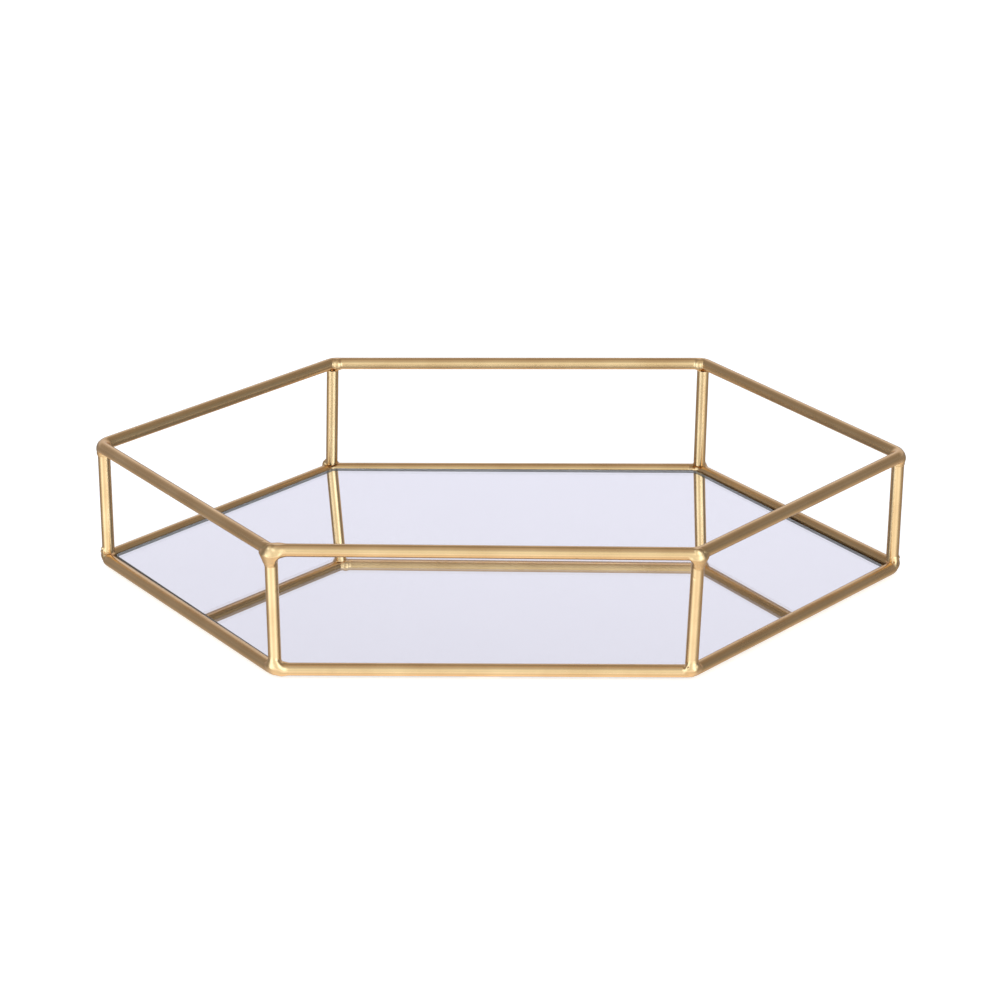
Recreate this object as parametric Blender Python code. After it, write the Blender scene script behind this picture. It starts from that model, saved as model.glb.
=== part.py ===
"""Hexagonal dresser vanity tray: two bent rod rings, six welded posts and a mirror floor.

Metres, +Z up, +X from tip to tip, the front rail toward -Y. The origin is on the table, under the
middle of the tray.
"""

import math

import bmesh
import bpy
from mathutils import Matrix, Vector

# Driving dimensions
ROD = 0.005  # diameter of the rings' and posts' rod
TIP_SPAN = 0.319  # between the tips' sharp corners, on the rod's centreline
RAIL_SPAN = 0.190  # between the centrelines of the front and back rails
FLAT = 0.158  # corner to corner along the front and back rails
RING_RISE = 0.0486  # from the bottom ring's centreline to the top ring's
BEND = 0.005  # bend radius of the rings' corners, on the centreline
GAP = 0.0003  # between pieces that touch

MIRROR_THICK = 0.0018
MIRROR_DROP = 0.0014  # from the bottom ring's top to the mirror's face
MIRROR_CLEARANCE = 0.001  # between the bottom ring and the mirror's edge
MIRROR_SHIFT = (-0.0003, -0.0007)  # how far the mirror has slid in its seat, toward the front left
MIRROR_TILT = 0.0036  # radians, left tip up: the tabs don't sit quite level
MIRROR_PITCH = 0.0062  # radians, back rail's side up
MIRROR_CORNER = 0.002
BOARD_THICK = 0.0007
BOARD_INSET = 0.001  # from the mirror's edge to the board's
TAB_THICK = 0.0006
TAB_WIDTH = 0.012
TAB_REACH = 0.014  # from the ring's centreline to the tab's inner end
PAD_DIAMETER = 0.010
PAD_DROP = 0.0014  # how far the pads hold the bottom ring off the table
PAD_INSET = 0.024  # from the ring's corners to the pads' middles

BEAD_DEPTH = 0.0033  # half-depth of a weld bead, out of the tray
BEAD_LENGTH = 0.0046  # half-length of a weld bead, along the ring
BEAD_RISE = 0.0026  # half-height of a weld bead
BEAD_OFFSET = 0.0006  # the beads lie on the outer side of the posts

ROD_SIDES = 16
BEND_STEPS = 5
BEAD_SEGMENTS = 14
BEAD_RINGS = 8

CORNERS = ("left", "front_left", "front_right", "right", "back_right", "back_left")
SIDES = ("front_left", "front", "front_right", "back_right", "back", "back_left")

# Each ring is bent by hand. These are its corners' distances from the true hexagon, in mm.
TOP_BENDING = ((-0.5, 2.0), (1.0, -0.5), (1.5, 0.0), (-0.5, -1.0), (1.5, 1.0), (2.0, -1.5))
BOTTOM_BENDING = ((-1.5, 0.5), (0.5, -2.0), (-1.0, 1.0), (-1.5, 0.5), (0.0, 1.0), (-0.5, -1.5))

RADIUS = ROD / 2
BOTTOM_Z = PAD_DROP + RADIUS
TOP_Z = BOTTOM_Z + RING_RISE
MIRROR_Z = BOTTOM_Z + RADIUS - MIRROR_DROP - MIRROR_THICK  # the mirror's underside
BOARD_Z = MIRROR_Z - GAP - BOARD_THICK
TAB_Z = BOARD_Z - GAP - TAB_THICK

# Finishes: colour, roughness, metallic
SATIN_GOLD = ((0.78, 0.56, 0.31), 0.32, 1.0)
WELD_GOLD = ((0.80, 0.60, 0.36), 0.38, 1.0)
MIRROR_FINISH = ((0.90, 0.90, 0.93), 0.03, 1.0)
HARDBOARD = ((0.20, 0.14, 0.09), 0.85, 0.0)
BLACK_FOAM = ((0.03, 0.03, 0.03), 0.90, 0.0)


def clear_scene():
    for obj in list(bpy.data.objects):
        bpy.data.objects.remove(obj, do_unlink=True)


# Outlines, as lists of points in plan


def hexagon(bending):
    """The six corners of a ring's centreline, anticlockwise from the left tip."""
    tip = TIP_SPAN / 2
    flat = FLAT / 2
    rail = RAIL_SPAN / 2
    true = ((-tip, 0), (-flat, -rail), (flat, -rail), (tip, 0), (flat, rail), (-flat, rail))
    return [Vector((x + dx / 1000, y + dy / 1000)) for (x, y), (dx, dy) in zip(true, bending)]


def arms(corners, i):
    """Unit vectors from corner i to its two neighbours, and half of the angle between them."""
    here = corners[i]
    back = (corners[i - 1] - here).normalized()
    ahead = (corners[(i + 1) % len(corners)] - here).normalized()
    return back, ahead, back.angle(ahead) / 2


def inset(corners, distance):
    """The outline with every side moved inward."""
    moved = []
    for i, here in enumerate(corners):
        back, ahead, half = arms(corners, i)
        moved.append(here + (back + ahead).normalized() * distance / math.sin(half))
    return moved


def bend_arc(corners, i, radius, steps):
    """The arc that rounds corner i, from its back arm to its ahead arm."""
    back, ahead, half = arms(corners, i)
    centre = corners[i] + (back + ahead).normalized() * radius / math.sin(half)
    start = corners[i] + back * radius / math.tan(half) - centre
    sweep = math.pi - 2 * half
    return [centre + Matrix.Rotation(sweep * k / steps, 2) @ start for k in range(steps + 1)]


def rounded(corners, radius, steps):
    points = []
    for i in range(len(corners)):
        points += bend_arc(corners, i, radius, steps)
    return points


def apex(corners, i):
    """The middle of the bend at corner i, where the post stands, and the way out of the tray."""
    back, ahead, half = arms(corners, i)
    out = -(back + ahead).normalized()
    return corners[i] - out * BEND * (1 / math.sin(half) - 1), out


def centred(top, bottom):
    """Both outlines, moved so that their common box is centred on the origin."""
    points = rounded(top, BEND, BEND_STEPS) + rounded(bottom, BEND, BEND_STEPS)
    xs = [p.x for p in points]
    ys = [p.y for p in points]
    middle = Vector((min(xs) + max(xs), min(ys) + max(ys))) / 2
    return [p - middle for p in top], [p - middle for p in bottom]


# Making objects


def finish(obj, look):
    colour, roughness, metallic = look
    material = bpy.data.materials.new(obj.name)
    material.use_nodes = True
    shader = material.node_tree.nodes["Principled BSDF"]
    shader.inputs["Base Color"].default_value = (*colour, 1)
    shader.inputs["Roughness"].default_value = roughness
    shader.inputs["Metallic"].default_value = metallic
    obj.data.materials.append(material)


def add(name, bm, look=None, sharp_angle=40):
    """Turns bm into an object. Without a look it is a cutter."""
    bmesh.ops.recalc_face_normals(bm, faces=bm.faces)
    mesh = bpy.data.meshes.new(name)
    bm.to_mesh(mesh)
    bm.free()
    mesh.shade_smooth()
    mesh.set_sharp_from_angle(angle=math.radians(sharp_angle))
    obj = bpy.data.objects.new(name, mesh)
    bpy.context.scene.collection.objects.link(obj)
    if look:
        finish(obj, look)
    else:
        obj.hide_render = True
        obj.display_type = "WIRE"
    return obj


def rod_ring(name, path, z, radius, look=None):
    """A closed ring of round rod along a path in plan."""
    bm = bmesh.new()
    loops = []
    for i, here in enumerate(path):
        along = (path[(i + 1) % len(path)] - path[i - 1]).normalized()
        side = Vector((along.y, -along.x))
        loop = []
        for k in range(ROD_SIDES):
            turn = 2 * math.pi * k / ROD_SIDES
            at = here + side * radius * math.cos(turn)
            loop.append(bm.verts.new((at.x, at.y, z + radius * math.sin(turn))))
        loops.append(loop)
    for i, loop in enumerate(loops):
        last = loops[i - 1]
        for k in range(ROD_SIDES):
            bm.faces.new((last[k - 1], last[k], loop[k], loop[k - 1]))
    return add(name, bm, look)


def round_bar(name, low, high, radius, look=None):
    """A straight round bar between two points."""
    bm = bmesh.new()
    axis = high - low
    place = Matrix.Translation((low + high) / 2) @ axis.to_track_quat("Z", "Y").to_matrix().to_4x4()
    bmesh.ops.create_cone(
        bm,
        cap_ends=True,
        segments=ROD_SIDES,
        radius1=radius,
        radius2=radius,
        depth=axis.length,
        matrix=place,
    )
    return add(name, bm, look)


def sheet(name, outline, low, thick, look):
    """A flat plate with the given outline."""
    bm = bmesh.new()
    face = bm.faces.new([bm.verts.new((p.x, p.y, low)) for p in outline])
    top = bmesh.ops.extrude_face_region(bm, geom=[face])["geom"]
    bmesh.ops.translate(bm, vec=(0, 0, thick), verts=[v for v in top if isinstance(v, bmesh.types.BMVert)])
    return add(name, bm, look)


def cut(obj, cutter):
    boolean = obj.modifiers.new("cut_by_" + cutter.name, "BOOLEAN")
    boolean.operation = "DIFFERENCE"
    boolean.solver = "EXACT"
    boolean.object = cutter


# The tray's pieces


def make_ring(level, corners, z):
    path = rounded(corners, BEND, BEND_STEPS)
    rod_ring(level + "_ring", path, z, RADIUS, SATIN_GOLD)
    return rod_ring("cutter_" + level + "_ring", path, z, RADIUS + GAP)


def make_post(name, foot, head):
    """A post between the rings, and the cutter that keeps the weld beads clear of it."""
    axis = (head - foot).normalized()
    trim = axis * (RADIUS + GAP)
    round_bar("post_" + name, foot + trim, head - trim, RADIUS, SATIN_GOLD)
    return round_bar("cutter_post_" + name, foot, head, RADIUS + GAP)


def make_bead(name, at, out, cutters):
    """A weld bead: a flattened ball on the outer side of a joint, less the ring and the post."""
    bm = bmesh.new()
    middle = at + Vector((out.x, out.y, 0)) * BEAD_OFFSET
    heading = Matrix.Rotation(math.atan2(out.y, out.x), 4, "Z")
    place = Matrix.Translation(middle) @ heading @ Matrix.Diagonal((BEAD_DEPTH, BEAD_LENGTH, BEAD_RISE, 1))
    bmesh.ops.create_uvsphere(bm, u_segments=BEAD_SEGMENTS, v_segments=BEAD_RINGS, radius=1, matrix=place)
    bead = add("weld_" + name, bm, WELD_GOLD, sharp_angle=60)
    for cutter in cutters:
        cut(bead, cutter)


def make_frame(top, bottom):
    top_cutter = make_ring("top", top, TOP_Z)
    bottom_cutter = make_ring("bottom", bottom, BOTTOM_Z)
    for i, name in enumerate(CORNERS):
        head, head_out = apex(top, i)
        foot, foot_out = apex(bottom, i)
        head = Vector((head.x, head.y, TOP_Z))
        foot = Vector((foot.x, foot.y, BOTTOM_Z))
        post_cutter = make_post(name, foot, head)
        step = (head - foot).normalized() * (RADIUS + GAP / 2)
        make_bead("top_" + name, head - step, head_out, (top_cutter, post_cutter))
        make_bead("bottom_" + name, foot + step, foot_out, (bottom_cutter, post_cutter))


def tilt_drop(x, y):
    """How far the tilted mirror floor lies below its middle at a place in plan."""
    return x * math.sin(MIRROR_TILT) - y * math.sin(MIRROR_PITCH)


def make_tab(name, start, end, seat):
    """A flat strip from under the board to the bottom ring's inner side or underside."""
    middle = (start + end) / 2
    along = (end - start).normalized()
    inward = Vector((-along.y, along.x))
    below = BOTTOM_Z - (TAB_Z + TAB_THICK - tilt_drop(middle.x, middle.y))
    near = math.sqrt(max((RADIUS + GAP) ** 2 - below**2, 0))
    size = Vector((TAB_WIDTH, TAB_REACH - near, TAB_THICK))
    at = middle + inward * (near + TAB_REACH) / 2
    bm = bmesh.new()
    bmesh.ops.create_cube(bm, size=1, matrix=Matrix.Diagonal((*size, 1)))
    tab = add("tab_" + name, bm, SATIN_GOLD)
    tab.parent = seat
    tab.location = (at.x, at.y, TAB_Z + TAB_THICK / 2)
    tab.rotation_euler = (0, 0, math.atan2(along.y, along.x))


def make_pad(name, corner, inward):
    """A foam pad under the board, on which the tray stands."""
    at = corner + inward * PAD_INSET
    reach = PAD_DIAMETER / 2
    height = BOARD_Z - tilt_drop(at.x + reach, at.y - reach) - GAP
    low = Vector((at.x, at.y, 0))
    round_bar("pad_" + name, low, low + Vector((0, 0, height)), reach, BLACK_FOAM)


def make_floor(bottom):
    """The mirror, its board, the tabs that carry them, and the pads."""
    seat = bpy.data.objects.new("mirror_seat", None)
    seat.rotation_euler = (MIRROR_PITCH, MIRROR_TILT, 0)
    bpy.context.scene.collection.objects.link(seat)
    edge = inset(bottom, RADIUS + MIRROR_CLEARANCE)
    edge = [p + Vector(MIRROR_SHIFT) for p in edge]
    mirror = sheet("mirror", rounded(edge, MIRROR_CORNER, 3), MIRROR_Z, MIRROR_THICK, MIRROR_FINISH)
    board_edge = rounded(inset(edge, BOARD_INSET), MIRROR_CORNER, 3)
    board = sheet("backing_board", board_edge, BOARD_Z, BOARD_THICK, HARDBOARD)
    mirror.parent = seat
    board.parent = seat
    for i, name in enumerate(SIDES):
        make_tab(name, bottom[i], bottom[(i + 1) % len(bottom)], seat)
    for i, name in enumerate(CORNERS):
        _, out = apex(bottom, i)
        make_pad(name, bottom[i], -out)


def main():
    clear_scene()
    top, bottom = centred(hexagon(TOP_BENDING), hexagon(BOTTOM_BENDING))
    make_frame(top, bottom)
    make_floor(bottom)


main()
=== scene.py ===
"""Looks of the hexagonal dresser tray: satin gold rods, welds and a second-surface mirror.

Metres, +Z up, +X from tip to tip, the front rail toward -Y, as the frame has it.
"""

import math

import bmesh
import bpy
import numpy as np
from mathutils import Matrix, Vector


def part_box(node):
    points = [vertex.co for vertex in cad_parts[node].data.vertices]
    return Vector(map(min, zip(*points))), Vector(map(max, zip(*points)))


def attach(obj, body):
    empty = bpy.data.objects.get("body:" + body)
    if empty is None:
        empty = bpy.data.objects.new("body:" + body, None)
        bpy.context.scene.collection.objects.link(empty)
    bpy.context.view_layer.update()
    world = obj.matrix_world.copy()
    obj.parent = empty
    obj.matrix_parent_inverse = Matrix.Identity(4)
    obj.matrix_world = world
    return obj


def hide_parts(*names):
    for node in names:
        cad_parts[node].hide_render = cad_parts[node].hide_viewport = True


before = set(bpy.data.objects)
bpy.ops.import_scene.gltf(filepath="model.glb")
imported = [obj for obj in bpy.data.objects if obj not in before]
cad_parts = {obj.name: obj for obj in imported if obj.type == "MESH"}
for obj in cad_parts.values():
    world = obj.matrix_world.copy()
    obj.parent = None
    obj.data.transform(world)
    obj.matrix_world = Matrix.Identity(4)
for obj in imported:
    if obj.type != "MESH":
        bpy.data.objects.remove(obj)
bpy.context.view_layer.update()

MM = 0.001

# The tray's plan, as the CAD model draws it
TIP_SPAN = 0.319
RAIL_SPAN = 0.190
FLAT = 0.158
BEND = 0.005
TOP_BENDING = ((-0.5, 2.0), (1.0, -0.5), (1.5, 0.0), (-0.5, -1.0), (1.5, 1.0), (2.0, -1.5))
BOTTOM_BENDING = ((-1.5, 0.5), (0.5, -2.0), (-1.0, 1.0), (-1.5, 0.5), (0.0, 1.0), (-0.5, -1.5))
CORNERS = ("left", "front_left", "front_right", "right", "back_right", "back_left")
SIDES = ("front_left", "front", "front_right", "back_right", "back", "back_left")
GAP = 0.0003
MIRROR_THICK = 0.0018
MIRROR_DROP = 0.0014
MIRROR_CLEARANCE = 0.001
MIRROR_SHIFT = (-0.0003, -0.0007)
MIRROR_TILT = 0.0036
MIRROR_PITCH = 0.0062
MIRROR_CORNER = 0.002
BOARD_THICK = 0.0007
BOARD_INSET = 0.001
TAB_THICK = 0.0006
TAB_WIDTH = 0.012
TAB_REACH = 0.014

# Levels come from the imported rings
top_low, top_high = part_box("top_ring")
bottom_low, bottom_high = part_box("bottom_ring")
RADIUS = (bottom_high.z - bottom_low.z) / 2
TOP_Z = (top_low.z + top_high.z) / 2
BOTTOM_Z = (bottom_low.z + bottom_high.z) / 2
MIRROR_Z = bottom_high.z - MIRROR_DROP - MIRROR_THICK
BOARD_Z = MIRROR_Z - GAP - BOARD_THICK
TAB_Z = BOARD_Z - GAP - TAB_THICK

ROD_SIDES = 48
BEND_STEPS = 10
ROD_STEP = 0.004  # between a rod's cross-sections along its straights
ROD_WOBBLE = 0.0025  # how much a rod's radius varies, as a share
SWAY_WAVES = (0.11, 0.071, 0.043, 0.029, 0.017, 0.011)  # wavelengths of that variation
SWAY_NORM = 0.13  # brings the waves' sum to about 1


# Plan outlines


def hexagon(bending):
    """The six corners of a ring's centreline, anticlockwise from the left tip."""
    tip = TIP_SPAN / 2
    flat = FLAT / 2
    rail = RAIL_SPAN / 2
    true = ((-tip, 0), (-flat, -rail), (flat, -rail), (tip, 0), (flat, rail), (-flat, rail))
    return [Vector((x + dx / 1000, y + dy / 1000)) for (x, y), (dx, dy) in zip(true, bending)]


def arms(corners, i):
    """Unit vectors from corner i to its two neighbours, and half of the angle between them."""
    here = corners[i]
    back = (corners[i - 1] - here).normalized()
    ahead = (corners[(i + 1) % len(corners)] - here).normalized()
    return back, ahead, back.angle(ahead) / 2


def inset(corners, distance):
    """The outline with every side moved inward."""
    moved = []
    for i, here in enumerate(corners):
        back, ahead, half = arms(corners, i)
        moved.append(here + (back + ahead).normalized() * distance / math.sin(half))
    return moved


def bend_arc(corners, i, radius, steps):
    """The arc that rounds corner i, from its back arm to its ahead arm."""
    back, ahead, half = arms(corners, i)
    centre = corners[i] + (back + ahead).normalized() * radius / math.sin(half)
    start = corners[i] + back * radius / math.tan(half) - centre
    sweep = math.pi - 2 * half
    return [centre + Matrix.Rotation(sweep * k / steps, 2) @ start for k in range(steps + 1)]


def rounded(corners, radius, steps):
    points = []
    for i in range(len(corners)):
        points += bend_arc(corners, i, radius, steps)
    return points


def apex(corners, i):
    """The middle of the bend at corner i, where the post stands, and the way out of the tray."""
    back, ahead, half = arms(corners, i)
    out = -(back + ahead).normalized()
    return corners[i] - out * BEND * (1 / math.sin(half) - 1), out


def centred(top, bottom):
    """Both outlines, moved so that their common box is centred on the origin."""
    points = rounded(top, BEND, 5) + rounded(bottom, BEND, 5)
    xs = [p.x for p in points]
    ys = [p.y for p in points]
    middle = Vector((min(xs) + max(xs), min(ys) + max(ys))) / 2
    return [p - middle for p in top], [p - middle for p in bottom]


TOP, BOTTOM = centred(hexagon(TOP_BENDING), hexagon(BOTTOM_BENDING))


# Making pieces


def piece(name, mesh, materials, nodes, sharp_angle=None):
    """Adds a mesh to the scene as a piece of the tray that stands for CAD nodes."""
    for material in materials:
        mesh.materials.append(material)
    if sharp_angle:
        mesh.set_sharp_from_angle(angle=math.radians(sharp_angle))
    obj = bpy.data.objects.new(name, mesh)
    bpy.context.scene.collection.objects.link(obj)
    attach(obj, "root")
    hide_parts(*nodes)
    return obj


def to_mesh(name, points, faces):
    mesh = bpy.data.meshes.new(name)
    mesh.from_pydata([tuple(p) for p in points], [], faces)
    mesh.validate()
    mesh.shade_smooth()
    return mesh


def sway(s, seed, size):
    """A smooth random walk along a rod, of about the given size."""
    phases = np.random.default_rng(seed).uniform(0, 2 * math.pi, len(SWAY_WAVES))
    total = sum(w * np.sin(2 * math.pi * s / w + p) for w, p in zip(SWAY_WAVES, phases))
    return size * total / SWAY_NORM


def rod_mesh(name, centres, sides, ups, closed, seed):
    """A round rod along centres. Its "rod" attribute is the rod pulled straight: x runs along it."""
    centres = np.array(centres, float)
    steps = np.linalg.norm(np.diff(centres, axis=0), axis=1)
    s = np.concatenate(([0], np.cumsum(steps)))
    turn = 2 * math.pi * np.arange(ROD_SIDES) / ROD_SIDES
    wobble = 1 - np.abs(sway(s, seed, ROD_WOBBLE))
    points = []
    rod = []
    for i, here in enumerate(centres):
        ring = np.outer(np.cos(turn), sides[i]) + np.outer(np.sin(turn), ups[i])
        points += list(here + ring * RADIUS * wobble[i])
        rod += [(s[i], RADIUS * math.cos(t), RADIUS * math.sin(t)) for t in turn]
    faces = []
    count = len(centres)
    for i in range(count if closed else count - 1):
        low = i * ROD_SIDES
        high = (i + 1) % count * ROD_SIDES
        for k in range(ROD_SIDES):
            n = (k + 1) % ROD_SIDES
            faces.append((low + k, low + n, high + n, high + k))
    if not closed:
        faces.append(tuple(reversed(range(ROD_SIDES))))
        faces.append(tuple(range((count - 1) * ROD_SIDES, count * ROD_SIDES)))
    mesh = to_mesh(name, points, faces)
    attribute = mesh.attributes.new("rod", "FLOAT_VECTOR", "POINT")
    attribute.data.foreach_set("vector", np.array(rod, np.float32).ravel())
    return mesh


def ring_path(corners):
    """A ring's centreline in plan, with its straights divided."""
    points = []
    for i in range(len(corners)):
        arc = bend_arc(corners, i, BEND, BEND_STEPS)
        following = bend_arc(corners, (i + 1) % len(corners), BEND, BEND_STEPS)[0]
        points += arc
        parts = round((following - arc[-1]).length / ROD_STEP)
        points += [arc[-1].lerp(following, k / parts) for k in range(1, parts)]
    return points


def ring_mesh(name, corners, z, seed):
    path = ring_path(corners)
    count = len(path)
    centres = [(p.x, p.y, z) for p in path]
    sides = []
    for i in range(count):
        along = (path[(i + 1) % count] - path[i - 1]).normalized()
        sides.append((along.y, -along.x, 0))
    return rod_mesh(name, centres, sides, [(0, 0, 1)] * count, True, seed)


def post_mesh(name, foot, head, seed):
    axis = (head - foot).normalized()
    side = axis.cross(Vector((0, 1, 0))).normalized()
    up = side.cross(axis)
    trim = axis * (RADIUS + GAP / 2)
    low = foot + trim
    high = head - trim
    parts = round((high - low).length / ROD_STEP)
    centres = [low.lerp(high, k / parts) for k in range(parts + 1)]
    return rod_mesh(name, centres, [-side] * (parts + 1), [up] * (parts + 1), False, seed)


# Weld beads, as the smooth union of the rods they join


def smooth_min(a, b, width):
    h = np.maximum(width - np.abs(a - b), 0) / width
    return np.minimum(a, b) - h * h * h * width / 6


def smooth_step(low, high, x):
    t = np.clip((x - low) / (high - low), 0, 1)
    return t * t * (3 - 2 * t)


def to_segment(p, a, b):
    """Distance of points from a straight segment."""
    along = b - a
    t = np.clip((p - a) @ along / (along @ along), 0, 1)
    return np.linalg.norm(p - a - t[..., None] * along, axis=-1)


def surface_net(field, low, step):
    """The zero surface of a sampled field, as points and quads."""
    inside = field < 0
    shape = tuple(n - 1 for n in field.shape)
    total = np.zeros((*shape, 3))
    count = np.zeros(shape)
    for axis in range(3):
        others = [a for a in range(3) if a != axis]
        for du in (0, 1):
            for dv in (0, 1):
                start = [slice(0, n) for n in shape]
                start[others[0]] = slice(du, du + shape[others[0]])
                start[others[1]] = slice(dv, dv + shape[others[1]])
                end = list(start)
                end[axis] = slice(1, 1 + shape[axis])
                a = field[tuple(start)]
                b = field[tuple(end)]
                cross = inside[tuple(start)] != inside[tuple(end)]
                t = np.where(cross, a / np.where(cross, a - b, 1), 0)
                total[..., axis] += np.where(cross, t, 0)
                total[..., others[0]] += np.where(cross, du, 0)
                total[..., others[1]] += np.where(cross, dv, 0)
                count += cross
    used = count > 0
    index = np.full(shape, -1)
    index[used] = np.arange(used.sum())
    cells = np.argwhere(used)
    points = (cells + total[used] / count[used][:, None]) * step + low
    faces = []
    for axis in range(3):
        u = (axis + 1) % 3
        v = (axis + 2) % 3
        start = [slice(None)] * 3
        end = [slice(None)] * 3
        start[axis] = slice(0, -1)
        end[axis] = slice(1, None)
        changes = inside[tuple(start)] != inside[tuple(end)]
        for at in np.argwhere(changes):
            if at[u] == 0 or at[v] == 0 or at[u] >= shape[u] or at[v] >= shape[v]:
                continue
            quad = []
            for du, dv in ((0, 0), (1, 0), (1, 1), (0, 1)):
                cell = at.copy()
                cell[u] -= du
                cell[v] -= dv
                quad.append(index[tuple(cell)])
            if not inside[tuple(at)]:
                quad.reverse()
            faces.append(tuple(int(q) for q in quad))
    return points, faces


WELD_STEP = 0.00032
WELD_SINK = 0.00004  # how far the weld's skin lies inside the rods where it ends
WELD_REACH = 0.0068  # from the joint's middle to the end of its weld
WELD_ARM = 0.02  # how much of the ring's straights a weld takes into account
POST_ARM = 0.03  # and how much of the post
SLOPE_STEP = 0.00002  # for the field's slope
PIT_MELT = 0.25 * MM  # how softly a pit's rim is rounded


def weld_mesh(name, corners, i, z, post_way, shape):
    """The weld where a post meets a ring: a fillet on the outer side, with its lumps and pits."""
    arc = bend_arc(corners, i, BEND, BEND_STEPS)
    back, ahead, _ = arms(corners, i)
    line = [arc[0] + back * WELD_ARM] + arc + [arc[-1] + ahead * WELD_ARM]
    line = [np.array((p.x, p.y, z)) for p in line]
    spot, way_out = apex(corners, i)
    joint = np.array((spot.x, spot.y, z))
    out = np.array((way_out.x, way_out.y, 0))
    up = np.array(post_way)

    def field(p):
        ring = np.full(p.shape[:-1], 1.0)
        for a, b in zip(line, line[1:]):
            ring = np.minimum(ring, to_segment(p, a, b))
        ring -= RADIUS
        local = p - joint
        o = local @ out / RADIUS
        h = local @ up
        collar_end = shape["collar_end"]
        collar = shape["collar"] * smooth_step(collar_end, collar_end - 0.0006, h)
        post = to_segment(p, joint, joint + up * POST_ARM) - RADIUS
        post = post - collar * smooth_step(-0.8, 0.2, o)
        # The post's end is cut square, so it stands clear of the ring on the inner side
        opening = shape["open"]
        open_side = RADIUS + GAP / 2 - h - 2 * RADIUS * smooth_step(opening, opening + 0.7, o)
        post = np.maximum(post, open_side)
        width = shape["outer"] * smooth_step(-0.4, 0.9, o) * smooth_step(-0.6, 0.7, h / RADIUS)
        bead = smooth_min(ring, post, np.maximum(width, 0.00005)) + WELD_SINK
        for place, size, melt in shape["lumps"]:
            away = np.linalg.norm(local - np.array(place) * MM, axis=-1) - size * MM
            bead = smooth_min(bead, away, melt * MM)
        for place, size in shape["pits"]:
            away = np.linalg.norm(local - np.array(place) * MM, axis=-1) - size * MM
            bead = -smooth_min(-bead, away, PIT_MELT)
        far = np.linalg.norm(local, axis=-1)
        x, y, z_mm = np.moveaxis(local / MM, -1, 0)
        ripple = np.sin(2.1 * x + 1.3 * z_mm) * np.sin(1.7 * z_mm - 2.3 * y + 0.8)
        bead = bead - shape["ripple"] * MM * ripple * smooth_step(0.006, 0.003, far)
        # Nothing stands above the top ring or below the bottom one
        over = -local[..., 2] * np.sign(up[2]) - RADIUS + WELD_SINK / 2
        bead = np.maximum(bead, over)
        return np.maximum(bead, far - WELD_REACH)

    low = joint - WELD_REACH - 2 * WELD_STEP
    cells = int(2 * (WELD_REACH + 2 * WELD_STEP) / WELD_STEP) + 1
    axes = [low[a] + WELD_STEP * np.arange(cells + 1) for a in range(3)]
    grid = np.stack(np.meshgrid(*axes, indexing="ij"), -1)
    points, faces = surface_net(field(grid), low, WELD_STEP)
    nudges = SLOPE_STEP * np.eye(3)
    for _ in range(2):
        value = field(points)
        rises = [field(points + nudge) - field(points - nudge) for nudge in nudges]
        slope = np.stack(rises, -1) / (2 * SLOPE_STEP)
        slope /= np.maximum((slope**2).sum(-1), 0.2)[:, None]
        points = points - np.clip(value, -WELD_STEP / 2, WELD_STEP / 2)[:, None] * slope
    return to_mesh(name, points, faces)


def weld_shape(outer, collar=0.00015, collar_end=0.0048, opening=-0.5, ripple=0.03, lumps=(), pits=()):
    """Fillet width and collar in metres. Lumps are (place, radius, melt) and pits (place, radius) in mm."""
    return {
        "outer": outer,
        "collar": collar,
        "collar_end": collar_end,
        "open": opening,
        "ripple": ripple,
        "lumps": lumps,
        "pits": pits,
    }


# Lumps and pits are placed from the middle of the joint: right, back, up
TOP_WELDS = {
    "left": weld_shape(
        0.0035,
        collar_end=0.0042,
        opening=0.1,
        lumps=(((-1.7, -1.2, -2.9), 0.9, 1.0),),
    ),
    "front_left": weld_shape(
        0.0085,
        collar=0.0002,
        collar_end=0.0054,
        lumps=(((2.8, -0.5, -0.3), 2.66, 2.5),),
    ),
    "front_right": weld_shape(
        0.006,
        collar=0.0002,
        collar_end=0.0054,
        lumps=(((-0.6, -0.6, 0.9), 2.0, 0.5), ((3.7, 2.0, 1.0), 0.7, 0.5), ((-3.2, -1.6, -0.2), 1.0, 1.0)),
        pits=(((2.4, 0.1, 2.1), 1.0),),
    ),
    "right": weld_shape(0.0035, collar_end=0.0042, opening=0.1),
    "back_right": weld_shape(
        0.004,
        collar_end=0.0036,
        opening=-0.1,
        lumps=(((-1.7, -0.35, -0.1), 2.6, 0.8),),
    ),
    "back_left": weld_shape(
        0.0045,
        collar_end=0.0036,
        opening=-0.1,
        lumps=(((2.0, -0.35, -0.1), 2.6, 0.8),),
    ),
}
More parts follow.
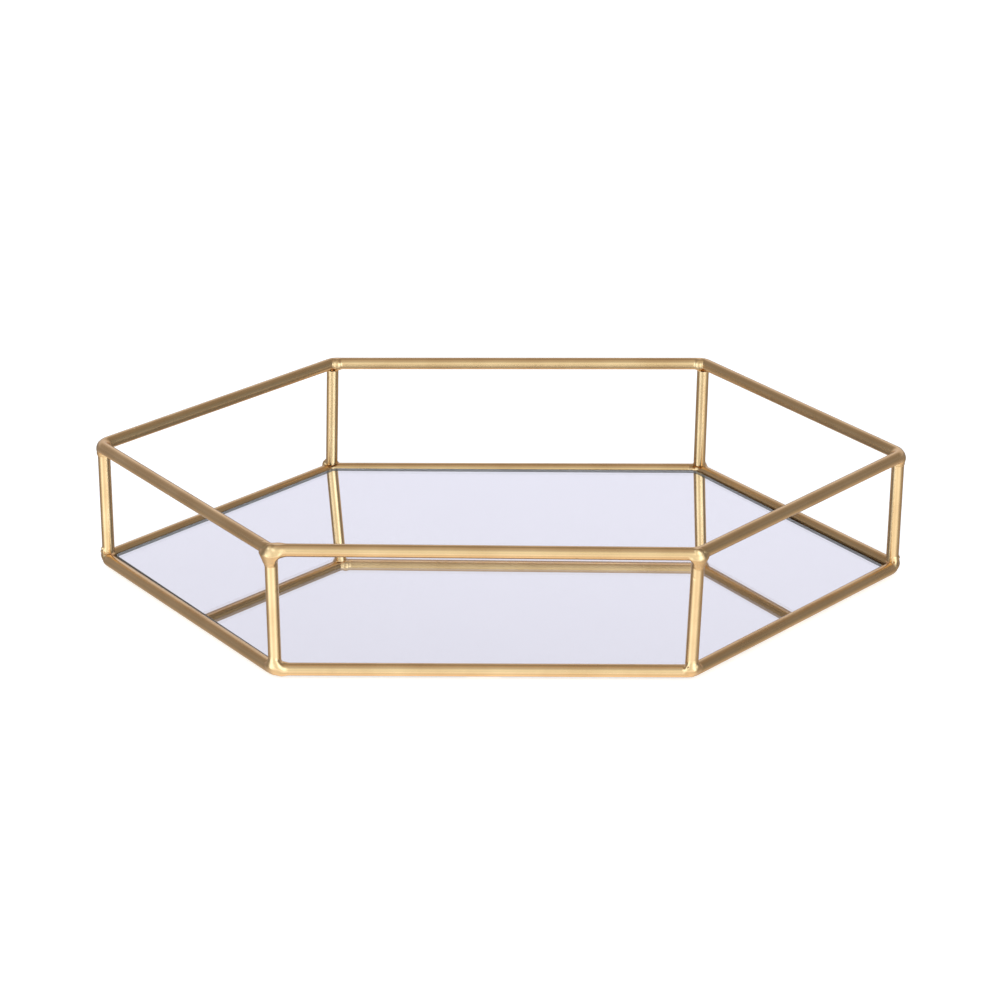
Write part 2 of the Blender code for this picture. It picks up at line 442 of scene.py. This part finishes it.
BOTTOM_WELDS = {
    "left": weld_shape(
        0.0045,
        collar_end=0.0052,
        opening=0.2,
        lumps=(
            ((-2.0, -1.2, 4.6), 0.65, 0.25),
            ((-1.5, -1.8, 3.7), 0.6, 0.2),
            ((-2.3, -0.8, 3.1), 0.8, 0.3),
            ((-0.4, -2.3, 3.3), 0.4, 0.2),
        ),
        pits=(((-1.0, -2.4, 2.9), 0.45), ((0.3, -2.5, 2.8), 0.4), ((-1.9, -1.7, 2.4), 0.4)),
    ),
    "front_left": weld_shape(
        0.0055,
        collar_end=0.0045,
        lumps=(((2.6, -0.5, 0.2), 2.6, 2.0), ((1.2, -1.2, 2.2), 1.6, 1.5)),
        pits=(((2.9, -0.4, 2.9), 0.5),),
    ),
    "front_right": weld_shape(
        0.005,
        collar_end=0.0040,
        lumps=(
            ((0.0, -2.2, 1.4), 0.7, 0.15),
            ((-1.5, -2.3, 0.9), 0.6, 0.15),
            ((-2.7, -2.3, 0.6), 0.5, 0.15),
            ((-3.8, -2.4, -0.9), 0.45, 0.15),
            ((1.9, -0.8, 2.3), 1.3, 0.8),
            ((1.2, -1.6, 1.0), 1.3, 1.0),
        ),
        pits=(((-0.9, -2.4, 2.5), 0.45), ((-3.8, -2.5, 0.4), 0.4)),
    ),
    "right": weld_shape(
        0.0045,
        collar_end=0.0052,
        opening=0.2,
        lumps=(((2.2, -0.8, 4.2), 0.8, 0.6),),
        pits=(((0.6, -2.4, 2.7), 0.4),),
    ),
    "back_right": weld_shape(
        0.0045,
        collar_end=0.0034,
        opening=0.3,
        lumps=(((-3.0, -1.2, 0.6), 1.4, 1.0),),
    ),
    "back_left": weld_shape(
        0.0065,
        collar_end=0.0040,
        opening=0.3,
        lumps=(((-2.6, 0.6, 2.4), 1.2, 1.5),),
        pits=(((-2.8, -1.6, 1.0), 0.4),),
    ),
}


# Materials


class Nodes:
    """A short way to write a material's node tree."""

    def __init__(self, tree):
        self.tree = tree

    def put(self, socket, value):
        if isinstance(value, bpy.types.NodeSocket):
            self.tree.links.new(value, socket)
        else:
            socket.default_value = value

    def math(self, operation, *values):
        node = self.tree.nodes.new("ShaderNodeMath")
        node.operation = operation
        for socket, value in zip(node.inputs, values):
            self.put(socket, value)
        return node.outputs[0]

    def vector(self, operation, *values, scale=None):
        node = self.tree.nodes.new("ShaderNodeVectorMath")
        node.operation = operation
        for socket, value in zip(node.inputs, values):
            self.put(socket, value)
        if scale is not None:
            self.put(node.inputs["Scale"], scale)
        return node.outputs["Value" if operation == "DOT_PRODUCT" else "Vector"]

    def noise(self, vector, scale, detail=3.0, roughness=0.5):
        node = self.tree.nodes.new("ShaderNodeTexNoise")
        self.put(node.inputs["Vector"], vector)
        node.inputs["Scale"].default_value = scale
        node.inputs["Detail"].default_value = detail
        node.inputs["Roughness"].default_value = roughness
        return node.outputs["Fac"]

    def stretch(self, vector, scale):
        node = self.tree.nodes.new("ShaderNodeMapping")
        self.put(node.inputs["Vector"], vector)
        node.inputs["Scale"].default_value = scale
        return node.outputs[0]

    def between(self, fac, low, high, result):
        node = self.tree.nodes.new("ShaderNodeMapRange")
        self.put(node.inputs["Value"], fac)
        node.inputs["From Min"].default_value = low
        node.inputs["From Max"].default_value = high
        node.inputs["To Min"].default_value = result[0]
        node.inputs["To Max"].default_value = result[1]
        return node.outputs[0]

    def mix(self, fac, a, b):
        node = self.tree.nodes.new("ShaderNodeMix")
        node.data_type = "RGBA"
        self.put(node.inputs["Factor"], fac)
        self.put(node.inputs["A"], a)
        self.put(node.inputs["B"], b)
        return node.outputs["Result"]

    def cells(self, vector, scale):
        node = self.tree.nodes.new("ShaderNodeTexVoronoi")
        self.put(node.inputs["Vector"], vector)
        node.inputs["Scale"].default_value = scale
        return node.outputs["Distance"]

    def bump(self, height, strength, distance, over=None):
        node = self.tree.nodes.new("ShaderNodeBump")
        self.put(node.inputs["Height"], height)
        if over is not None:
            self.put(node.inputs["Normal"], over)
        node.inputs["Strength"].default_value = strength
        node.inputs["Distance"].default_value = distance
        return node.outputs[0]


def new_material(name):
    material = bpy.data.materials.new(name)
    material.use_nodes = True
    shader = material.node_tree.nodes["Principled BSDF"]
    return material, Nodes(material.node_tree), shader


def object_place(n):
    return n.tree.nodes.new("ShaderNodeTexCoord").outputs["Object"]


def rod_place(n):
    node = n.tree.nodes.new("ShaderNodeAttribute")
    node.attribute_name = "rod"
    return node.outputs["Vector"]


GOLD = (0.80, 0.545, 0.285, 1)
GOLD_DARK = (0.70, 0.455, 0.225, 1)


def gold_material(name, rod):
    """Satin gold plating. On rods its fine grain runs along the drawn wire."""
    material, n, shader = new_material(name)
    place = object_place(n)
    patches = n.noise(place, 55, 3)
    colour = n.mix(n.between(patches, 0.35, 0.7, (0, 1)), GOLD, GOLD_DARK)
    fine = n.noise(place, 1800, 2)
    n.put(shader.inputs["Base Color"], colour)
    shader.inputs["Metallic"].default_value = 1
    grain = n.noise(n.stretch(rod_place(n), (60, 1500, 1500)), 1, 2) if rod else fine
    rough = n.math("ADD", n.between(patches, 0.3, 0.7, (0.21, 0.25)), n.math("MULTIPLY", grain, 0.05))
    n.put(shader.inputs["Roughness"], rough)
    height = n.math("ADD", n.math("MULTIPLY", grain, 0.6), n.math("MULTIPLY", fine, 0.5))
    satin = n.bump(height, 0.12, 0.00004)
    nick = n.between(n.cells(place, 75), 0.03, 0.06, (0, 1))
    n.put(shader.inputs["Normal"], n.bump(nick, 0.5, 0.0001, satin))
    return material


def glass_material():
    material, n, shader = new_material("clear_glass")
    smear = n.noise(object_place(n), 25, 4)
    n.put(shader.inputs["Roughness"], n.between(smear, 0.5, 0.8, (0.0, 0.012)))
    shader.inputs["Base Color"].default_value = (0.985, 0.99, 0.99, 1)
    shader.inputs["Transmission Weight"].default_value = 1
    shader.inputs["IOR"].default_value = 1.52
    return material


def ground_edge_material():
    material, n, shader = new_material("ground_edge")
    grit = n.noise(object_place(n), 2500, 3)
    n.put(shader.inputs["Base Color"], n.mix(grit, (0.22, 0.22, 0.20, 1), (0.34, 0.34, 0.32, 1)))
    n.put(shader.inputs["Roughness"], n.between(grit, 0.3, 0.7, (0.55, 0.7)))
    n.put(shader.inputs["Normal"], n.bump(grit, 0.4, 0.00005))
    shader.inputs["Transmission Weight"].default_value = 0.2
    shader.inputs["IOR"].default_value = 1.52
    return material


def silver_material():
    material, n, shader = new_material("silvering")
    cloud = n.noise(object_place(n), 18, 3)
    n.put(shader.inputs["Base Color"], n.mix(cloud, (0.90, 0.90, 0.935, 1), (0.92, 0.92, 0.95, 1)))
    n.put(shader.inputs["Roughness"], n.between(cloud, 0.4, 0.8, (0.0, 0.01)))
    shader.inputs["Metallic"].default_value = 1
    return material


def board_material():
    material, n, shader = new_material("hardboard_brown")
    place = object_place(n)
    fibre = n.noise(n.stretch(place, (1, 3, 1)), 700, 5, 0.65)
    blotch = n.noise(place, 60, 3)
    dark = n.mix(blotch, (0.13, 0.085, 0.055, 1), (0.19, 0.125, 0.08, 1))
    n.put(shader.inputs["Base Color"], n.mix(fibre, dark, (0.24, 0.16, 0.10, 1)))
    n.put(shader.inputs["Roughness"], n.between(fibre, 0.3, 0.7, (0.7, 0.9)))
    n.put(shader.inputs["Normal"], n.bump(fibre, 0.5, 0.0001))
    return material


def foam_material():
    material, n, shader = new_material("black_foam")
    cells = n.cells(object_place(n), 2600)
    dark = n.between(cells, 0, 0.7, (0, 1))
    n.put(shader.inputs["Base Color"], n.mix(dark, (0.012, 0.012, 0.013, 1), (0.045, 0.045, 0.047, 1)))
    n.put(shader.inputs["Roughness"], n.between(cells, 0, 0.7, (0.8, 0.95)))
    n.put(shader.inputs["Normal"], n.bump(cells, 0.6, 0.0002))
    return material


# The frame of rods

POST_SHARP = 40  # degrees; the rim of a post's cut end stays crisp


def build_frame():
    rod_gold = gold_material("satin_gold_rod", True)
    weld_gold = gold_material("satin_gold_weld", False)
    mesh = ring_mesh("top_ring_rod", TOP, TOP_Z, 11)
    piece("top_ring_rod", mesh, [rod_gold], ["top_ring"])
    mesh = ring_mesh("bottom_ring_rod", BOTTOM, BOTTOM_Z, 12)
    piece("bottom_ring_rod", mesh, [rod_gold], ["bottom_ring"])
    for i, name in enumerate(CORNERS):
        head, _ = apex(TOP, i)
        foot, _ = apex(BOTTOM, i)
        head = Vector((head.x, head.y, TOP_Z))
        foot = Vector((foot.x, foot.y, BOTTOM_Z))
        axis = (head - foot).normalized()
        post = "post_rod_" + name
        mesh = post_mesh(post, foot, head, 20 + i)
        piece(post, mesh, [rod_gold], ["post_" + name], POST_SHARP)
        high = "weld_bead_top_" + name
        mesh = weld_mesh(high, TOP, i, TOP_Z, -axis, TOP_WELDS[name])
        piece(high, mesh, [weld_gold], ["weld_top_" + name])
        low = "weld_bead_bottom_" + name
        mesh = weld_mesh(low, BOTTOM, i, BOTTOM_Z, axis, BOTTOM_WELDS[name])
        piece(low, mesh, [weld_gold], ["weld_bottom_" + name])


# The mirror floor

SEAT = Matrix.Rotation(MIRROR_TILT, 4, "Y") @ Matrix.Rotation(MIRROR_PITCH, 4, "X")
GLASS_ARRIS = 0.00025
BOARD_ARRIS = 0.0002
TAB_ARRIS = 0.00012
TAB_CORNER = 0.003  # radius of a tab's two inner corners
PAD_SHARP = 50  # degrees

# A pad's half-section, as shares of its radius and height
PAD_PROFILE = (
    (0, 0),
    (0.90, 0),
    (0.95, 0.04),
    (0.985, 0.2),
    (1.0, 0.5),
    (0.985, 0.8),
    (0.95, 0.96),
    (0.90, 1),
    (0, 1),
)


def plate(name, outline, low, thick, arris, sides_index=0, bottom_index=0, top_index=0):
    """A flat plate in the seat's plane, with a narrow bevel round both faces."""
    bm = bmesh.new()
    face = bm.faces.new([bm.verts.new((p.x, p.y, low)) for p in outline])
    top = bmesh.ops.extrude_face_region(bm, geom=[face])["geom"]
    bmesh.ops.translate(bm, vec=(0, 0, thick), verts=[v for v in top if isinstance(v, bmesh.types.BMVert)])
    bmesh.ops.recalc_face_normals(bm, faces=bm.faces)
    rim = [e for e in bm.edges if abs(e.verts[0].co.z - e.verts[1].co.z) < thick / 2]
    bmesh.ops.bevel(bm, geom=rim, offset=arris, segments=2, profile=0.5, affect="EDGES")
    for f in bm.faces:
        f.smooth = abs(f.normal.z) < 0.99
        f.material_index = sides_index
        if f.normal.z > 0.99:
            f.material_index = top_index
        if f.normal.z < -0.99:
            f.material_index = bottom_index
    bm.transform(SEAT)
    mesh = bpy.data.meshes.new(name)
    bm.to_mesh(mesh)
    bm.free()
    return mesh


def build_floor():
    edge = [p + Vector(MIRROR_SHIFT) for p in inset(BOTTOM, RADIUS + MIRROR_CLEARANCE)]
    outline = rounded(edge, MIRROR_CORNER, 6)
    mesh = plate("mirror_glass", outline, MIRROR_Z, MIRROR_THICK, GLASS_ARRIS, 1, 2, 0)
    looks = [glass_material(), ground_edge_material(), silver_material()]
    piece("mirror_glass", mesh, looks, ["mirror"])
    outline = rounded(inset(edge, BOARD_INSET), MIRROR_CORNER, 6)
    mesh = plate("board_sheet", outline, BOARD_Z, BOARD_THICK, BOARD_ARRIS)
    piece("board_sheet", mesh, [board_material()], ["backing_board"])
    gold = gold_material("satin_gold_tab", False)
    for i, name in enumerate(SIDES):
        build_tab(name, BOTTOM[i], BOTTOM[(i + 1) % 6], gold)
    foam = foam_material()
    for name in CORNERS:
        build_pad(name, foam)


def build_tab(name, start, end, gold):
    middle = (start + end) / 2
    along = (end - start).normalized()
    inward = Vector((-along.y, along.x))
    drop = middle.x * math.sin(MIRROR_TILT) - middle.y * math.sin(MIRROR_PITCH)
    below = BOTTOM_Z - (TAB_Z + TAB_THICK - drop)
    near = math.sqrt(max((RADIUS + GAP) ** 2 - below**2, 0))
    half = TAB_WIDTH / 2
    corner = TAB_CORNER
    outline = [(-half, near), (half, near), (half, TAB_REACH - corner)]
    outline += [
        (half - corner + corner * math.cos(a), TAB_REACH - corner + corner * math.sin(a))
        for a in (math.radians(d) for d in (22, 45, 68, 90))
    ]
    outline += [
        (-half + corner - corner * math.cos(a), TAB_REACH - corner + corner * math.sin(a))
        for a in (math.radians(d) for d in (90, 68, 45, 22, 0))
    ]
    points = [middle + along * u + inward * v for u, v in outline]
    mesh = plate("tab_strip_" + name, points, TAB_Z, TAB_THICK, TAB_ARRIS)
    piece("tab_strip_" + name, mesh, [gold], ["tab_" + name])


def build_pad(name, foam):
    """A foam disc that bulges a little under the tray's weight."""
    low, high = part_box("pad_" + name)
    middle = (low + high) / 2
    radius = (high.x - low.x) / 2
    height = high.z - low.z
    bm = bmesh.new()
    line = [bm.verts.new((r * radius, 0, t * height)) for r, t in PAD_PROFILE]
    edges = [bm.edges.new(pair) for pair in zip(line, line[1:])]
    bmesh.ops.spin(bm, geom=line + edges, axis=(0, 0, 1), cent=(0, 0, 0), steps=40, angle=2 * math.pi)
    bmesh.ops.remove_doubles(bm, verts=bm.verts, dist=1e-6)
    bmesh.ops.recalc_face_normals(bm, faces=bm.faces)
    bm.transform(Matrix.Translation((middle.x, middle.y, low.z)))
    mesh = bpy.data.meshes.new("foam_pad_" + name)
    bm.to_mesh(mesh)
    bm.free()
    mesh.shade_smooth()
    piece("foam_pad_" + name, mesh, [foam], ["pad_" + name], PAD_SHARP)


# Stage, camera and light

FLOOR_HALF = 5
SHADE_INSET = 0.003  # from the bottom ring's centreline to the shade's edge
SHADE_LIFT = 0.00005  # off the floor

CAMERA_PLACE = (0.08940, -1.13653, 0.53566)
CAMERA_AZIMUTH = -4.430  # degrees, as are the next two
CAMERA_DOWN = 23.861
CAMERA_ROLL = -1.255
CAMERA_LENS = 112.589  # mm, on a 36 mm sensor


def build_stage():
    bm = bmesh.new()
    bmesh.ops.create_grid(bm, x_segments=8, y_segments=8, size=FLOOR_HALF)
    mesh = bpy.data.meshes.new("pale_floor")
    bm.to_mesh(mesh)
    bm.free()
    material, _, shader = new_material("pale_floor")
    shader.inputs["Base Color"].default_value = (0.85, 0.85, 0.85, 1)
    shader.inputs["Roughness"].default_value = 0.9
    shader.inputs["Emission Color"].default_value = (1, 1, 1, 1)
    shader.inputs["Emission Strength"].default_value = 0.6
    mesh.materials.append(material)
    floor = bpy.data.objects.new("pale_floor", mesh)
    bpy.context.scene.collection.objects.link(floor)
    floor.visible_glossy = False
    floor.visible_shadow = False
    build_shade()


def build_shade():
    """A near-black sheet on the floor under the tray: painted shade where the board's shadow falls."""
    bm = bmesh.new()
    outline = rounded(inset(BOTTOM, SHADE_INSET), BEND, 4)
    bm.faces.new([bm.verts.new((p.x, p.y, SHADE_LIFT)) for p in outline])
    mesh = bpy.data.meshes.new("painted_floor_shade")
    bm.to_mesh(mesh)
    bm.free()
    material, _, shader = new_material("painted_floor_shade")
    # painted shade: a near-black colour stands in for the shadow under the board
    shader.inputs["Base Color"].default_value = (0.05, 0.045, 0.04, 1)
    shader.inputs["Roughness"].default_value = 0.9
    mesh.materials.append(material)
    shade = bpy.data.objects.new("painted_floor_shade", mesh)
    bpy.context.scene.collection.objects.link(shade)
    shade.visible_shadow = False


def build_camera():
    azimuth = math.radians(CAMERA_AZIMUTH)
    elevation = math.radians(CAMERA_DOWN)
    roll = math.radians(CAMERA_ROLL)
    ahead = Vector(
        (
            math.sin(azimuth) * math.cos(elevation),
            math.cos(azimuth) * math.cos(elevation),
            -math.sin(elevation),
        )
    )
    right = Vector((math.cos(azimuth), -math.sin(azimuth), 0))
    above = right.cross(ahead)
    x = right * math.cos(roll) + above * math.sin(roll)
    y = -right * math.sin(roll) + above * math.cos(roll)
    data = bpy.data.cameras.new("camera")
    data.sensor_width = 36
    data.lens = CAMERA_LENS
    data.clip_start = 0.05
    data.clip_end = 50
    camera = bpy.data.objects.new("camera", data)
    bpy.context.scene.collection.objects.link(camera)
    turn = Matrix((x, y, -ahead)).transposed().to_4x4()
    camera.matrix_world = Matrix.Translation(CAMERA_PLACE) @ turn
    bpy.context.scene.camera = camera


def toward(azimuth, elevation):
    """A direction. Azimuth 0 is the front, 90 the tray's right end."""
    a = math.radians(azimuth)
    e = math.radians(elevation)
    return (math.sin(a) * math.cos(e), -math.cos(a) * math.cos(e), math.sin(e))


# The studio's soft lights: azimuth, elevation, half-width, half-height (degrees) and brightness
GLOWS = (
    (-45, 10, 15, 25, (2.0, 2.4, 2.8)),  # soft box at the left
    (40, 10, 15, 20, (2.6, 3.1, 3.6)),  # soft box at the right
    (0, 15, 20, 20, (0.9, 1.0, 1.0)),  # fill from the front
    (0, -25, 50, 12, (0.7, 0.8, 0.9)),  # low light off the table's front
    (0, -88, 40, 40, (1.3, 1.2, 1.1)),  # light off the table
    (180, 20, 70, 14, (0.85, 0.85, 0.95)),  # white backdrop
    (0, 88, 35, 35, (0.50, 0.45, 0.40)),  # ceiling
)
BASE_LIGHT = (0.005, 0.005, 0.005)  # from every direction


def build_light():
    """A world whose brightness changes softly with direction, as a studio's light boxes give it."""
    world = bpy.data.worlds.new("studio")
    bpy.context.scene.world = world
    world.use_nodes = True
    n = Nodes(world.node_tree)
    background = world.node_tree.nodes["Background"]
    way = n.tree.nodes.new("ShaderNodeTexCoord").outputs["Generated"]
    total = BASE_LIGHT
    for azimuth, elevation, across, tall, colour in GLOWS:
        middle = Vector(toward(azimuth, elevation))
        side = Vector((math.cos(math.radians(azimuth)), math.sin(math.radians(azimuth)), 0))
        above = middle.cross(side)
        fall = []
        for axis, width in ((side, across), (above, tall)):
            off = n.vector("DOT_PRODUCT", way, axis)
            sharpness = 1 / (2 * math.radians(width) ** 2)
            fall.append(n.math("MULTIPLY", n.math("MULTIPLY", off, off), -sharpness))
        glow = n.math("EXPONENT", n.math("ADD", *fall))
        facing = n.math("SQRT", n.math("MAXIMUM", n.vector("DOT_PRODUCT", way, middle), 0.0))
        lit = n.vector("SCALE", colour, scale=n.math("MULTIPLY", glow, facing))
        total = n.vector("ADD", lit, total)
    seen = n.tree.nodes.new("ShaderNodeLightPath").outputs["Is Camera Ray"]
    n.put(background.inputs["Color"], n.mix(seen, total, (1, 1, 1, 1)))
    background.inputs["Strength"].default_value = 1


build_camera()
build_light()
build_stage()
build_frame()
build_floor()
bpy.context.scene.view_settings.view_transform = "Standard"
bpy.context.scene.view_settings.look = "None"
